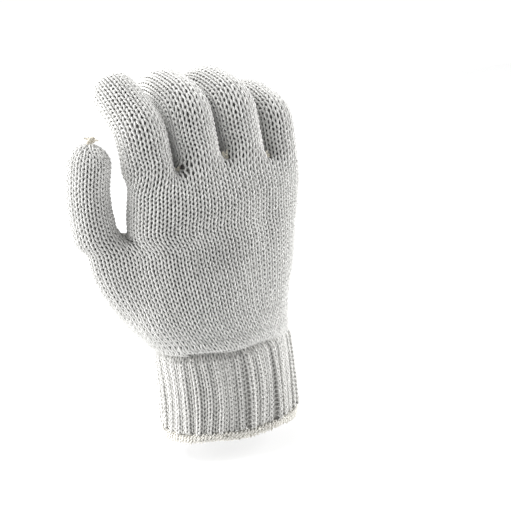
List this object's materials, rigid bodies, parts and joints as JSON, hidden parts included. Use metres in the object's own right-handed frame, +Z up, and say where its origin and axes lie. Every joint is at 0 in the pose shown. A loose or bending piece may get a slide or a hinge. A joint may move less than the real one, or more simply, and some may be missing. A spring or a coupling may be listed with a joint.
{
  "type": "cotton work glove",
  "caption": "Seamless string-knit cotton work glove for a right hand, fingers curled as if worn, with a ribbed elastic cuff and an overlocked hem.",
  "frame": {"origin": "middle of the cuff's mouth, level with the lowest edge of the hem, where the wrist goes in", "axes": "+Z up the wrist to the fingers, -Y out of the back of the hand, -X to the thumb; the fingers curl towards +Y"},
  "size_m": [0.1387, 0.0905, 0.201],
  "materials": {
    "knit": "matt string-knit cotton, natural white",
    "rib": "matt elastic rib knit, natural white",
    "overlock": "matt overlock yarn, cream",
    "tip_yarn": "matt yarn, bound off, cream"
  },
  "bodies": {
    "root": {"palm": "knit", "index_finger": "knit", "middle_finger": "knit", "ring_finger": "knit", "little_finger": "knit", "thumb": "knit", "rib_cuff": "rib", "overlock_hem": "overlock", "index_knot": "tip_yarn", "middle_knot": "tip_yarn", "ring_knot": "tip_yarn", "little_knot": "tip_yarn", "thumb_knot": "tip_yarn"}
  },
  "joints": []
}
